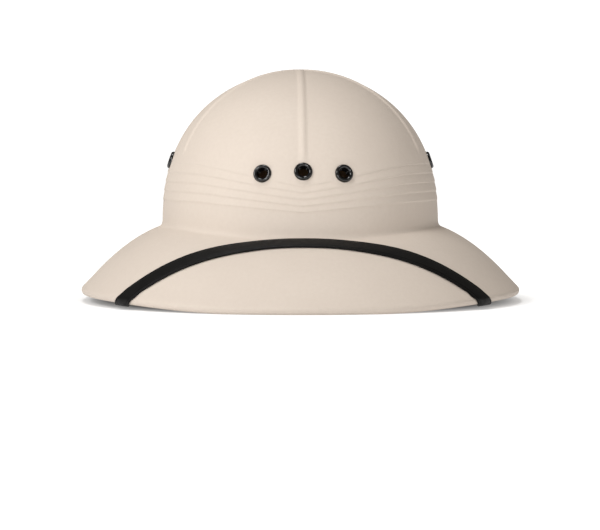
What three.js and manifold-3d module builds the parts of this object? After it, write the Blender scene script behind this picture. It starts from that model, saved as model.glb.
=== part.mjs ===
// Pith helmet: a moulded sun helmet with folds, ribs, vents, a chin strap and an inner headband.
// Millimetres, +Z up. The front of the helmet faces -Y and it rests on z = 0.
// Plan angles start at the front and turn towards +X: 0 front, 90 right, 180 back.

import * as THREE from "three";
import { mergeVertices } from "three/addons/utils/BufferGeometryUtils.js";
import Module from "manifold-3d";

const wasm = await Module();
wasm.setup();

// Named sizes

const WALL = 2.6;
const FIT_GAP = 0.35;

// Small steps used to take a slope, and the passes of a search.
const NUDGE = { angle: 0.2, height: 0.2, reach: 0.01 };
const SEARCH_PASSES = 40;

// The shell's ovals are a little squarer than ellipses. Columns run round it.
const OVAL_POWER = 2 / 2.2;
const COLUMNS = 56;

// Where the shell's rings lie: shares of the crown oval, reaches of the brim, turns of the rolled edge.
const RINGS = {
  dome: [0.1, 0.22, 0.35, 0.48, 0.6, 0.7, 0.78, 0.845],
  outerCorner: [0, 0.4, 0.75, 1],
  brimTop: [0.3, 0.5, 0.7, 0.88],
  bead: [49, 78, 106, 134, 162, 198, 230, 262, 292, 322],
  underside: [0.8, 0.58, 0.36],
  innerCorner: [0, 0.35, 0.65, 1],
  innerDome: [0.99, 0.945, 0.86, 0.74, 0.6, 0.45, 0.3, 0.14],
};

// The rolled edge of the brim: its centre line is an oval that rises towards the sides.
const RIM = { halfWidth: 150.3, halfLength: 176, sideLift: 5, flatShare: 0.25 };
const BEAD = { radius: 3, flatTurn: 162 };
BEAD.centre = -BEAD.radius * Math.cos(THREE.MathUtils.degToRad(BEAD.flatTurn));

// The crown: an oval dome, a little forward of the middle of the brim.
const CROWN = { halfWidth: 96.6, halfLength: 115, forward: 3, foot: 49, top: 160.5, roundness: 2.5 };

// The brim leaves the crown at root height, a little higher at the sides, and bows upwards by bulge.
const BRIM = { frontRoot: 47, sideLift: 5.5, rimRise: 3.8, bulge: 5.6, filletHeight: 4, filletReach: 0.05 };
BRIM.innerReach = 0.14;
BRIM.innerHeight = 8;

// Moulded folds round the crown. They dip towards the front centre and draw closer there.
const FOLDS = { count: 5, depth: 0.6, step: 1.4, dipAngle: 48, dipSoft: 0.2, dipPower: 1.2 };
FOLDS.sideLow = 70;
FOLDS.sidePitch = 6.3;
FOLDS.frontLow = 63.2;
FOLDS.frontPitch = 4.3;

// Raised ribs from the top of the crown, about 60 degrees apart in plan. Each one crosses the top.
const RIB = { width: 6.5, crestWidth: 4, height: 1.3, sunk: 0.8, stations: 9, angles: [0, 65, -65] };
RIB.lowEnd = 101.5;
RIB.frontLowEnd = 98.2;

// Vents: a rolled flange outside, a barrel through the wall and a flange inside. Radii and heights.
const EYELET = { flange: 6.2, shoulder: 5.95, crest: 4.9, throat: 4, barrel: 4.6, bore: 3.3, inner: 5.7 };
EYELET.shoulderHeight = 1;
EYELET.crestHeight = 1.7;
EYELET.throatHeight = 1.3;
EYELET.innerThickness = 0.9;
EYELET.curveRoom = 0.85;
EYELET.holeLength = 16;
EYELET.sides = 16;

// Distances from a vent between which the folds rise from flat to their full depth.
const EYELET_CLEAR = { flat: 7, full: 11 };

const EYELETS = [
  { name: "eyelet_front_centre", angle: 0, height: 91 },
  { name: "eyelet_front_left", angle: -15, height: 89.7 },
  { name: "eyelet_front_right", angle: 15, height: 89.7 },
  { name: "eyelet_left", angle: -84, height: 98 },
  { name: "eyelet_right", angle: 84, height: 98 },
];

// Chin strap: nearly straight over the front of the brim in plan, then round the edge to the temples.
const STRAP = { width: 11.5, thickness: 1.8, frontReach: 127, edgeDrop: 5, edgeSide: 117 };
STRAP.topStations = 16;
STRAP.wrapStations = 7;
STRAP.leaveTurn = 212;
STRAP.wrapAdvance = 4.3;
STRAP.bridgeStations = 4;
STRAP.searchFrom = 20;
STRAP.searchTo = 70;

// The last stretch of the strap, on the inside of the shell at the temples.
// along: 0 at the underside of the brim, 1 up the inner wall; front and back: plan angles of its edges.
const STRAP_END = [
  { along: 0.25, front: 66, back: 74.5 },
  { along: 0.5, front: 68, back: 76.5 },
  { along: 0.75, front: 70.5, back: 79 },
  { along: 1, front: 73, back: 81.5 },
];

// Inner headband, centred under the crown. Heights are above the resting plane.
const BAND = { halfWidth: 87.2, halfLength: 102.4, thickness: 1.8, bottom: 40, top: 66, railBottom: 58.5 };
BAND.railFrom = 92;
BAND.railTo = 104;
BAND.stations = 61;
const NAPE = { from: 84, height: 7.5, drop: 13, stations: 31 };
const BROW = { thickness: 1.8, bottom: 40, top: 66, reach: 98, stations: 33 };

// Hidden posts between the shell and the band. width is measured as a plan angle.
const POST = { bottom: 59.5, top: 65, width: 8, facetRoom: 0.35, stations: 4 };
const POSTS = [
  { name: "post_front_left", angle: -36, onBrow: true, onStrap: false },
  { name: "post_front_right", angle: 36, onBrow: true, onStrap: false },
  { name: "post_back_left", angle: -144, onBrow: false, onStrap: false },
  { name: "post_back_right", angle: 144, onBrow: false, onStrap: false },
  { name: "post_side_left", angle: -77, onBrow: true, onStrap: true },
  { name: "post_side_right", angle: 77, onBrow: true, onStrap: true },
];

// Colours and finishes

const FINISHES = {
  shell: { color: 0xd9cbb8, roughness: 0.85, metalness: 0 },
  eyelet: { color: 0x0b0b0c, roughness: 0.25, metalness: 0.3 },
  strap: { color: 0x14110f, roughness: 0.6, metalness: 0 },
  band: { color: 0x121213, roughness: 0.6, metalness: 0 },
  brow: { color: 0x8a8884, roughness: 0.9, metalness: 0 },
};

// Small helpers

function radians(degrees) {
  return THREE.MathUtils.degToRad(degrees);
}

function smoothStep(low, high, value) {
  return THREE.MathUtils.smoothstep(value, low, high);
}

function mix(first, second, share) {
  return first + (second - first) * share;
}

// Plan angle from the front to either side, from 0 to 180.
function turnFromFront(angle) {
  return Math.abs(THREE.MathUtils.euclideanModulo(angle + 180, 360) - 180);
}

// Shape of the shell

// Point of a rounded oval in plan. centreY is the middle of the oval.
function ovalPoint(angle, halfWidth, halfLength, centreY) {
  const side = Math.sin(radians(angle));
  const front = Math.cos(radians(angle));
  const x = halfWidth * Math.sign(side) * Math.abs(side) ** OVAL_POWER;
  const y = -halfLength * Math.sign(front) * Math.abs(front) ** OVAL_POWER;
  return new THREE.Vector3(x, centreY + y, 0);
}

function rimPoint(angle) {
  return ovalPoint(angle, RIM.halfWidth, RIM.halfLength, 0);
}

// Oval of the crown wall, drawn in by inset.
function crownOval(angle, inset) {
  return ovalPoint(angle, CROWN.halfWidth - inset, CROWN.halfLength - inset, -CROWN.forward);
}

// Share of the rise towards the sides: 0 along the front and back, 1 at the sides.
function sideShare(angle) {
  return smoothStep(RIM.flatShare, 1, Math.abs(Math.sin(radians(angle))));
}

function rimHeight(angle) {
  return BEAD.centre + RIM.sideLift * sideShare(angle);
}

function rootHeight(angle) {
  return BRIM.frontRoot + BRIM.sideLift * sideShare(angle);
}

// Share of the full crown oval at a height of the dome.
function domeShare(height, foot, top) {
  const rise = THREE.MathUtils.clamp((height - foot) / (top - foot), 0, 1);
  return Math.sqrt(1 - rise ** CROWN.roundness);
}

// Height of the dome at a share of the full crown oval.
function domeHeight(share, foot, top) {
  return foot + (top - foot) * (1 - share * share) ** (1 / CROWN.roundness);
}

// Point on the dome whose oval is drawn in by inset, pushed out by swell.
function domePoint(angle, height, inset, swell) {
  const share = domeShare(height, CROWN.foot, CROWN.top - inset);
  const point = crownOval(angle, inset - swell);
  point.x *= share;
  point.y = -CROWN.forward + (point.y + CROWN.forward) * share;
  point.z = height;
  return point;
}

// Normal of the outer dome, from two short steps on it.
function domeNormal(angle, height) {
  const at = (turn, rise) => domePoint(angle + turn, height + rise, 0, 0);
  const around = at(NUDGE.angle, 0).sub(at(-NUDGE.angle, 0));
  const upwards = at(0, NUDGE.height).sub(at(0, -NUDGE.height));
  return around.cross(upwards).normalize();
}

// Height of the top of the brim. reach is 0 at the crown and 1 at the rim.
function brimHeight(angle, reach) {
  const rimTop = rimHeight(angle) + BRIM.rimRise;
  return mix(rootHeight(angle), rimTop, reach) + 4 * BRIM.bulge * reach * (1 - reach);
}

// Point of the brim at a reach, moved by depth along the normal of the section (down is negative).
function brimPoint(angle, reach, depth) {
  const root = crownOval(angle, 0);
  const outwards = rimPoint(angle).sub(root);
  const length = outwards.length();
  const rise = brimHeight(angle, reach + NUDGE.reach) - brimHeight(angle, reach - NUDGE.reach);
  const slope = rise / (2 * NUDGE.reach * length);
  const steep = Math.hypot(1, slope);
  const point = root.clone().addScaledVector(outwards, reach - (depth * slope) / (steep * length));
  point.z = brimHeight(angle, reach) + depth / steep;
  return point;
}

// Point of the rolled edge. turn is 0 straight up and 90 outwards.
function beadPoint(angle, turn, depth) {
  const outwards = rimPoint(angle).sub(crownOval(angle, 0)).normalize();
  const radius = BEAD.radius + depth;
  const point = rimPoint(angle).addScaledVector(outwards, radius * Math.sin(radians(turn)));
  point.z = rimHeight(angle) + radius * Math.cos(radians(turn));
  return point;
}

// Point of a rounded corner between two points with its sharp corner given.
function cornerPoint(first, corner, last, share) {
  const point = first.clone().multiplyScalar((1 - share) ** 2);
  point.addScaledVector(corner, 2 * share * (1 - share));
  point.addScaledVector(last, share ** 2);
  return point;
}

// Outer corner where the crown meets the brim.
function outerCorner(angle, share) {
  const wall = domePoint(angle, rootHeight(angle) + BRIM.filletHeight, 0, 0);
  const corner = domePoint(angle, rootHeight(angle), 0, 0);
  return cornerPoint(wall, corner, brimPoint(angle, BRIM.filletReach, 0), share);
}

// Inside of the shell from the underside of the brim (along 0) up the inner wall (along 1).
function innerCorner(angle, along, depth) {
  const wall = domePoint(angle, rootHeight(angle) + BRIM.innerHeight, WALL + depth, 0);
  const corner = domePoint(angle, rootHeight(angle) - WALL - depth, WALL + depth, 0);
  return cornerPoint(brimPoint(angle, BRIM.innerReach, -WALL - depth), corner, wall, along);
}

// Share of the dip of the folds: 1 at the front centre, easing to 0 at the sides and back.
function foldDip(angle) {
  const eased = (share) => (share + Math.hypot(share, FOLDS.dipSoft)) / 2;
  const share = 1 - turnFromFront(angle) / FOLDS.dipAngle;
  return (eased(share) / eased(1)) ** FOLDS.dipPower;
}

function foldHeight(angle, index) {
  const side = FOLDS.sideLow + FOLDS.sidePitch * index;
  const front = FOLDS.frontLow + FOLDS.frontPitch * index;
  return mix(side, front, foldDip(angle));
}

// The folds are pressed flat round the vents.
function foldSwell(angle, height) {
  const point = domePoint(angle, height, 0, 0);
  let swell = FOLDS.depth;
  for (const eyelet of EYELETS) {
    const distance = point.distanceTo(domePoint(eyelet.angle, eyelet.height, 0, 0));
    swell *= smoothStep(EYELET_CLEAR.flat, EYELET_CLEAR.full, distance);
  }
  return swell;
}

// Building closed meshes

function geometryFrom(points, triangles) {
  const geometry = new THREE.BufferGeometry();
  const coordinates = points.flatMap((point) => [point.x, point.y, point.z]);
  geometry.setAttribute("position", new THREE.Float32BufferAttribute(coordinates, 3));
  geometry.setIndex(triangles.flat());
  return geometry;
}

// Closed body from rings of points that all have the same count.
// With poles the first and last rings are closed by a point, otherwise by flat ends.
function ringBody(rings, firstPole, lastPole) {
  const count = rings[0].length;
  const points = rings.flat();
  const triangles = [];
  for (let row = 0; row + 1 < rings.length; row += 1) {
    for (let column = 0; column < count; column += 1) {
      const next = (column + 1) % count;
      const a = row * count + column;
      const b = row * count + next;
      triangles.push([a, a + count, b], [b, a + count, b + count]);
    }
  }
  const lastRow = (rings.length - 1) * count;
  if (firstPole) {
    points.push(firstPole, lastPole);
  }
  for (let column = 0; column < count; column += 1) {
    const next = (column + 1) % count;
    if (firstPole) {
      triangles.push([points.length - 2, column, next]);
      triangles.push([points.length - 1, lastRow + next, lastRow + column]);
    } else if (column > 0 && next > 0) {
      triangles.push([0, column, next], [lastRow, lastRow + next, lastRow + column]);
    }
  }
  return geometryFrom(points, triangles);
}

// Closed band from sections of points that follow one another round a full loop.
function loopBody(sections) {
  const count = sections[0].length;
  const triangles = [];
  for (let row = 0; row < sections.length; row += 1) {
    const after = (row + 1) % sections.length;
    for (let corner = 0; corner < count; corner += 1) {
      const next = (corner + 1) % count;
      const a = row * count + corner;
      const b = row * count + next;
      const c = after * count + corner;
      const d = after * count + next;
      triangles.push([a, c, b], [b, c, d]);
    }
  }
  return geometryFrom(sections.flat(), triangles);
}

function toManifold(geometry) {
  const bare = new THREE.BufferGeometry();
  bare.setAttribute("position", geometry.getAttribute("position"));
  bare.setIndex(geometry.getIndex());
  const merged = mergeVertices(bare, 1e-5);
  const vertProperties = new Float32Array(merged.getAttribute("position").array);
  const triVerts = new Uint32Array(merged.getIndex().array);
  return new wasm.Manifold(new wasm.Mesh({ numProp: 3, vertProperties, triVerts }));
}

function fromManifold(body) {
  const mesh = body.getMesh();
  const geometry = new THREE.BufferGeometry();
  geometry.setAttribute("position", new THREE.Float32BufferAttribute(mesh.vertProperties, 3));
  geometry.setIndex(Array.from(mesh.triVerts));
  return geometry;
}

// The shell

function ringAround(pointAt) {
  return Array.from({ length: COLUMNS }, (_, column) => pointAt((360 * column) / COLUMNS));
}

// Rings from the top of the crown down the outside, round the edge and up the inside.
function shellRings() {
  const rings = [];
  const addRing = (pointAt) => rings.push(ringAround(pointAt));
  const lastFold = FOLDS.count - 1;

  for (const share of RINGS.dome) {
    addRing((angle) => domePoint(angle, domeHeight(share, CROWN.foot, CROWN.top), 0, 0));
  }
  const lowestDome = domeHeight(RINGS.dome.at(-1), CROWN.foot, CROWN.top);
  const foldTop = (angle) => foldHeight(angle, lastFold) + FOLDS.sidePitch;
  addRing((angle) => domePoint(angle, mix(lowestDome, foldTop(angle), 0.5), 0, 0));
  addRing((angle) => domePoint(angle, foldTop(angle), 0, 0));
  for (let index = lastFold; index >= 0; index -= 1) {
    addRing((angle) => {
      const height = foldHeight(angle, index) + FOLDS.step;
      return domePoint(angle, height, 0, foldSwell(angle, height));
    });
    addRing((angle) => domePoint(angle, foldHeight(angle, index), 0, 0));
  }
  for (const share of RINGS.outerCorner) {
    addRing((angle) => outerCorner(angle, share));
  }
  for (const reach of RINGS.brimTop) {
    addRing((angle) => brimPoint(angle, reach, 0));
  }
  for (const turn of RINGS.bead) {
    addRing((angle) => beadPoint(angle, turn, 0));
  }
  for (const reach of RINGS.underside) {
    addRing((angle) => brimPoint(angle, reach, -WALL));
  }
  for (const along of RINGS.innerCorner) {
    addRing((angle) => innerCorner(angle, along, 0));
  }
  for (const share of RINGS.innerDome) {
    addRing((angle) => domePoint(angle, domeHeight(share, CROWN.foot, CROWN.top - WALL), WALL, 0));
  }
  return rings;
}

// A rib from one side of the crown, across the top, to the far side.
function ribBody(angle, nearLowEnd) {
  const sections = [];
  const along = ovalPoint(angle, CROWN.halfWidth, CROWN.halfLength, 0).normalize();
  const across = new THREE.Vector3(0, 0, 1).cross(along);
  const addSection = (side, height, drop) => {
    const point = domePoint(side, height, 0, 0);
    const normal = height < CROWN.top ? domeNormal(side, height) : new THREE.Vector3(0, 0, 1);
    const upright = normal.addScaledVector(across, -normal.dot(across)).normalize();
    const corner = (wide, high) => point.clone().addScaledVector(across, wide).addScaledVector(upright, high);
    const half = RIB.width / 2;
    const crest = RIB.crestWidth / 2;
    sections.push([
      corner(-half, -RIB.sunk - drop),
      corner(half, -RIB.sunk - drop),
      corner(crest, RIB.height - drop),
      corner(-crest, RIB.height - drop),
    ]);
  };
  const heights = (lowEnd) => {
    const lowShare = domeShare(lowEnd, CROWN.foot, CROWN.top);
    return Array.from({ length: RIB.stations }, (_, step) => {
      return domeHeight(lowShare * (1 - step / RIB.stations), CROWN.foot, CROWN.top);
    });
  };
  heights(nearLowEnd).forEach((height, step) => addSection(angle, height, step === 0 ? RIB.height : 0));
  addSection(angle, CROWN.top, 0);
  const farHeights = heights(RIB.lowEnd).map((height, step) => [height, step === 0 ? RIB.height : 0]);
  farHeights.reverse().forEach(([height, drop]) => addSection(angle + 180, height, drop));
  return ringBody(sections, null, null);
}

// Places a body drawn along +Y with its origin on the outer wall at a vent.
function placeAtVent(geometry, eyelet) {
  const normal = domeNormal(eyelet.angle, eyelet.height);
  const turn = new THREE.Quaternion().setFromUnitVectors(new THREE.Vector3(0, 1, 0), normal);
  const place = domePoint(eyelet.angle, eyelet.height, 0, 0);
  return geometry.applyMatrix4(new THREE.Matrix4().compose(place, turn, new THREE.Vector3(1, 1, 1)));
}

function shellGeometry() {
  const apex = new THREE.Vector3(0, -CROWN.forward, CROWN.top);
  const innerApex = new THREE.Vector3(0, -CROWN.forward, CROWN.top - WALL);
  let body = toManifold(ringBody(shellRings(), apex, innerApex));
  for (const angle of RIB.angles) {
    body = body.add(toManifold(ribBody(angle, angle === 0 ? RIB.frontLowEnd : RIB.lowEnd)));
  }
  for (const eyelet of EYELETS) {
    const radius = EYELET.barrel + FIT_GAP;
    const hole = new THREE.CylinderGeometry(radius, radius, EYELET.holeLength, EYELET.sides);
    body = body.subtract(toManifold(placeAtVent(hole, eyelet)));
  }
  return fromManifold(body);
}

// Vents

function eyeletGeometry(eyelet) {
  const face = FIT_GAP;
  const back = -WALL - FIT_GAP - EYELET.curveRoom;
  const outline = [
    [EYELET.bore, back - EYELET.innerThickness],
    [EYELET.inner, back - EYELET.innerThickness],
    [EYELET.inner, back],
    [EYELET.barrel, back],
    [EYELET.barrel, face],
    [EYELET.flange, face],
    [EYELET.shoulder, face + EYELET.shoulderHeight],
    [EYELET.crest, face + EYELET.crestHeight],
    [EYELET.throat, face + EYELET.throatHeight],
    [EYELET.bore, face],
  ];
  const rings = outline.map(([radius, along]) => {
    return Array.from({ length: EYELET.sides }, (_, step) => {
      const turn = (2 * Math.PI * (step + 0.5)) / EYELET.sides;
      return new THREE.Vector3(radius * Math.cos(turn), along, radius * Math.sin(turn));
    });
  });
  return placeAtVent(loopBody(rings), eyelet);
}

// Chin strap

// Reach on the brim where one edge of the strap crosses a plan angle. side is 1 in front, -1 behind.
function strapReach(angle, side) {
  const root = crownOval(angle, 0);
  const rim = rimPoint(angle);
  let reach = 0;
  for (let pass = 0; pass < SEARCH_PASSES; pass += 1) {
    const across = mix(root.x, rim.x, reach) / STRAP.edgeSide;
    const front = STRAP.frontReach - STRAP.edgeDrop * across ** 4 + (side * STRAP.width) / 2;
    reach = (front + root.y) / (root.y - rim.y);
  }
  return reach;
}

// Plan angle at which one edge of the strap comes to the rim.
function strapRimAngle(side) {
  let low = STRAP.searchFrom;
  let high = STRAP.searchTo;
  for (let pass = 0; pass < SEARCH_PASSES; pass += 1) {
    const middle = (low + high) / 2;
    if (strapReach(middle, side) < 1) {
      low = middle;
    } else {
      high = middle;
    }
  }
  return low;
}

// Four corners of the strap where its front and back edges lie on a surface of the shell.
function strapSection(frontEdge, backEdge) {
  const outside = FIT_GAP + STRAP.thickness;
  return [frontEdge(FIT_GAP), frontEdge(outside), backEdge(outside), backEdge(FIT_GAP)];
}

// Sections from the front centre over the brim, round the edge and up to the right temple.
function rightStrapSections() {
  const sections = [];
  const rimFront = strapRimAngle(1);
  const rimBack = strapRimAngle(-1);
  for (let step = 0; step < STRAP.topStations; step += 1) {
    const share = step / STRAP.topStations;
    const edge = (rimAngle, side) => (depth) => {
      return brimPoint(rimAngle * share, strapReach(rimAngle * share, side), depth);
    };
    sections.push(strapSection(edge(rimFront, 1), edge(rimBack, -1)));
  }
  for (let step = 0; step <= STRAP.wrapStations; step += 1) {
    const share = step / STRAP.wrapStations;
    const turn = mix(RINGS.bead[0], STRAP.leaveTurn, share);
    const edge = (rimAngle) => (depth) => beadPoint(rimAngle + STRAP.wrapAdvance * share, turn, depth);
    sections.push(strapSection(edge(rimFront), edge(rimBack)));
  }
  const temple = STRAP_END.map((row) => {
    const edge = (angle) => (depth) => innerCorner(angle, row.along, depth);
    return strapSection(edge(row.front), edge(row.back));
  });
  const leaving = sections.at(-1);
  for (let step = 1; step < STRAP.bridgeStations; step += 1) {
    const share = step / STRAP.bridgeStations;
    sections.push(leaving.map((corner, index) => corner.clone().lerp(temple[0][index], share)));
  }
  return [...sections, ...temple];
}

function strapGeometry() {
  const right = rightStrapSections();
  const mirror = (point) => new THREE.Vector3(-point.x, point.y, point.z);
  const left = right.slice(1).map((section) => section.map(mirror));
  return ringBody([...left.reverse(), ...right], null, null);
}

// Inner bands and posts

// Sections of an upright strip between two ovals round the crown.
function stripSections(from, to, count, inner, outer, bottomAt, topAt) {
  return Array.from({ length: count }, (_, step) => {
    const angle = mix(from, to, step / (count - 1));
    const corner = (oval, height) => {
      const point = ovalPoint(angle, oval.halfWidth, oval.halfLength, -CROWN.forward);
      point.z = height;
      return point;
    };
    const bottom = bottomAt(angle);
    const top = topAt(angle);
    return [corner(inner, bottom), corner(outer, bottom), corner(outer, top), corner(inner, top)];
  });
}

function grownOval(oval, growth) {
  return { halfWidth: oval.halfWidth + growth, halfLength: oval.halfLength + growth };
}

const BAND_OUTER = { halfWidth: BAND.halfWidth, halfLength: BAND.halfLength };
const BAND_INNER = grownOval(BAND_OUTER, -BAND.thickness);
const BROW_INNER = grownOval(BAND_OUTER, FIT_GAP);
const BROW_OUTER = grownOval(BROW_INNER, BROW.thickness);

// Inside of the crown at the top of the posts, the narrowest place that they reach.
const INNER_SHARE = domeShare(POST.top, CROWN.foot, CROWN.top - WALL);
const CROWN_INNER = {
  halfWidth: (CROWN.halfWidth - WALL) * INNER_SHARE,
  halfLength: (CROWN.halfLength - WALL) * INNER_SHARE,
};

function headbandGeometry() {
  const bottomAt = (angle) => {
    const share = smoothStep(BAND.railFrom, BAND.railTo, turnFromFront(angle));
    return mix(BAND.bottom, BAND.railBottom, share);
  };
  const loop = stripSections(0, 360, BAND.stations, BAND_INNER, BAND_OUTER, bottomAt, () => BAND.top);
  const ring = toManifold(loopBody(loop.slice(0, -1)));
  const napeBottom = (angle) => {
    return BAND.bottom - NAPE.drop * smoothStep(NAPE.from, 180, turnFromFront(angle));
  };
  const napeTop = (angle) => napeBottom(angle) + NAPE.height;
  const [from, to] = [NAPE.from, 360 - NAPE.from];
  const nape = stripSections(from, to, NAPE.stations, BAND_INNER, BAND_OUTER, napeBottom, napeTop);
  return fromManifold(ring.add(toManifold(ringBody(nape, null, null))));
}

function browGeometry() {
  const bottomAt = () => BROW.bottom;
  const topAt = () => BROW.top;
  const [from, to] = [-BROW.reach, BROW.reach];
  const strip = stripSections(from, to, BROW.stations, BROW_INNER, BROW_OUTER, bottomAt, topAt);
  return ringBody(strip, null, null);
}

function postGeometry(post) {
  const inner = grownOval(post.onBrow ? BROW_OUTER : BAND_OUTER, FIT_GAP);
  const strapRoom = post.onStrap ? STRAP.thickness + FIT_GAP : 0;
  const outer = grownOval(CROWN_INNER, -FIT_GAP - POST.facetRoom - strapRoom);
  const half = POST.width / 2;
  const from = post.angle - half;
  const to = post.angle + half;
  const bottomAt = () => POST.bottom;
  const topAt = () => POST.top;
  const strip = stripSections(from, to, POST.stations, inner, outer, bottomAt, topAt);
  return ringBody(strip, null, null);
}

// Assembly

const group = new THREE.Group();
group.name = "pith_helmet";

function addPiece(name, geometry, finish) {
  const flat = geometry.toNonIndexed();
  flat.computeVertexNormals();
  const mesh = new THREE.Mesh(flat, new THREE.MeshStandardMaterial({ ...finish, flatShading: true }));
  mesh.name = name;
  mesh.material.name = `${name}_material`;
  group.add(mesh);
}

addPiece("shell", shellGeometry(), FINISHES.shell);
for (const eyelet of EYELETS) {
  addPiece(eyelet.name, eyeletGeometry(eyelet), FINISHES.eyelet);
}
addPiece("chin_strap", strapGeometry(), FINISHES.strap);
addPiece("headband", headbandGeometry(), FINISHES.band);
addPiece("brow_band", browGeometry(), FINISHES.brow);
for (const post of POSTS) {
  addPiece(post.name, postGeometry(post), FINISHES.band);
}

export default group;
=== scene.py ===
"""Looks of the pith helmet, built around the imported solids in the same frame.

The shapes repeat the part's own formulas, in millimetres, with many more rings and columns.
Plan angles start at the front and turn towards +X: 0 front, 90 right, 180 back.
"""

import math
from collections import namedtuple
from types import SimpleNamespace as Sizes

import bpy
import numpy as np
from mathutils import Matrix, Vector


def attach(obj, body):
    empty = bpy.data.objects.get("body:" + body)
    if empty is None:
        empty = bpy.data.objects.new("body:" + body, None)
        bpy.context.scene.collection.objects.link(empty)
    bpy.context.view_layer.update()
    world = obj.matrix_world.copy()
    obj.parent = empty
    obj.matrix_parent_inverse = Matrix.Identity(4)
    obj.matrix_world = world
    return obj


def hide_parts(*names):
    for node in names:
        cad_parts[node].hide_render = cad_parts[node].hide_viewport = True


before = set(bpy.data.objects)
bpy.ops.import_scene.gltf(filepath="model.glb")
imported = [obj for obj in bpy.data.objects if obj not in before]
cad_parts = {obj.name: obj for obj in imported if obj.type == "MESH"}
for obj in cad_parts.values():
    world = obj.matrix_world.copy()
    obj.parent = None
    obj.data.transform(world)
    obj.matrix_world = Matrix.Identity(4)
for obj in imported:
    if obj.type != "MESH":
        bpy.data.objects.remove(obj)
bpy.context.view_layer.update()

MM = 0.001
SMALLEST = 1e-9
SMOOTH_ANGLE = 50
ROUND_SMOOTH_ANGLE = 60

# Sizes of the shell, in millimetres and degrees

WALL = 2.6
OVAL_POWER = 2 / 2.2
NUDGE = 0.01
RIM = Sizes(half_width=150.3, half_length=176, side_lift=5, flat_share=0.25)
BEAD = Sizes(radius=3, flat_turn=18, first_turn=46, last_turn=312)
BEAD.centre = BEAD.radius * math.cos(math.radians(BEAD.flat_turn))
CROWN = Sizes(half_width=96.6, half_length=115, forward=3, foot=49, top=160.5, roundness=2.5)
BRIM = Sizes(front_root=47, side_lift=5.5, rim_rise=3.8, bulge=5.6, fillet_height=4, fillet_reach=0.05)
BRIM.inner_reach = 0.14
BRIM.inner_height = 8
FOLDS = Sizes(count=5, depth=0.38, step=1.4, dip_angle=48, dip_soft=0.2, dip_power=1.2)
FOLDS.side_low = 70
FOLDS.side_pitch = 6.3
FOLDS.front_low = 63.2
FOLDS.front_pitch = 4.3
RIB = Sizes(half_width=3.1, height=1.0, fade=5, angles=(0, 65, 115, 180, 245, 295), low_end=101.5)
RIB.front_low_end = 97.5
RIB.roundness = 1.5
RIB.hub = 7

# A low rest of the front rib shows under the middle vent.
RIB_STUB = Sizes(height=0.35, low_end=79.5, fade=4)

# Columns of the fine shell stand closer together near the ribs.
COLUMNS = Sizes(count=336, boost=1.8, spread=4, samples=7201)

# Rings of the fine shell
RINGS = Sizes(dome=44, upper_wall=9, lower_wall=6, corner=8, brim=26, bead=26, underside=20, inside=34)
RINGS.brim_edge = 5
RINGS.inner_wall = 3
RINGS.fold_slope = 5
RINGS.fold_lip = 6
DOME_LOW_SHARE = 0.845
FIRST_SHARE = 0.012
BRIM_LAST_REACH = 0.88
UNDERSIDE_REACHES = (0.978, 0.966, 0.945)
INSIDE_LOW_SHARE = 0.99
BEAD_INSIDE_TURNS = (190, 260)

# Vents: place on the crown, and the radii and heights of a rolled eyelet from the outer wall
EYELET = Sizes(hole=4.95, barrel=4.6, bore=3.3, crest=4.9, flange=6.2, rise=1.9, seat=-0.15)
EYELET.inner = 5.7
EYELET.inner_face = -3.8
EYELET.inner_back = -4.7
EYELET.inner_round = 0.3
EYELET.cut_length = 16
EYELET.sides = 56
EYELET.roll_rings = 19
EYELET_CLEAR = Sizes(flat=7, full=11)
EYELETS = {
    "front_centre": (0, 91),
    "front_left": (-15, 89.7),
    "front_right": (15, 89.7),
    "left": (-84, 98),
    "right": (84, 98),
}

# Chin strap
STRAP = Sizes(width=11.5, gap=0.12, top=1.6, front_reach=127, edge_drop=5, edge_side=117)
STRAP.edge_power = 4
STRAP.wrap_from = 49
STRAP.leave_turn = 212
STRAP.wrap_advance = 4.3
STRAP.top_stations = 70
STRAP.wrap_stations = 30
STRAP.bridge_stations = 20
STRAP.temple_stations = 18
SEARCH_PASSES = 40
STRAP_SEARCH = (20, 70)

# Plan angles of the strap's edges on the inside of the shell, from the brim's underside up the wall
STRAP_END = Sizes(along=(0.25, 0.5, 0.75, 1), front=(66, 68, 70.5, 73), back=(74.5, 76.5, 79, 81.5))

# The strap in section: share across its width and share of its thickness, with a crease near each edge
STRAP_PROFILE = (
    (0.0, 0.35), (0.0, 0.65), (0.02, 0.88), (0.06, 1.0), (0.1, 0.99), (0.125, 0.85), (0.15, 0.99),
    (0.22, 1.02), (0.36, 1.04), (0.5, 1.05), (0.64, 1.04), (0.78, 1.02),
    (0.85, 0.99), (0.875, 0.85), (0.9, 0.99), (0.94, 1.0), (0.98, 0.88), (1.0, 0.65), (1.0, 0.35),
    (0.98, 0.1), (0.94, 0.0), (0.72, 0.0), (0.5, 0.0), (0.28, 0.0), (0.06, 0.0), (0.02, 0.1),
)

# Inner bands
BAND = Sizes(half_width=87.2, half_length=102.4, thickness=1.8, bottom=40, top=66, rail_bottom=58.5)
BAND.rail_from = 92
BAND.rail_to = 104
BAND.stations = 240
NAPE = Sizes(start=84, height=7.5, drop=13, stations=120, thinner=0.12)
BROW = Sizes(gap=0.35, thickness=1.8, bottom=40, top=66, reach=98, stations=130)

# A flat strip in section: share of its thickness from the inside out, and distance from its edge
STRIP_EDGE = ((0.0, 0.6), (0.1, 0.22), (0.3, 0.04), (0.5, 0.0), (0.7, 0.04), (0.9, 0.22), (1.0, 0.6))

# Looks: linear colours, roughness ranges, noise as (scale, detail, roughness), bumps as (strength, metres)


def colour(red, green, blue):
    return (red, green, blue, 1.0)


WHITE = colour(1, 1, 1)

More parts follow.
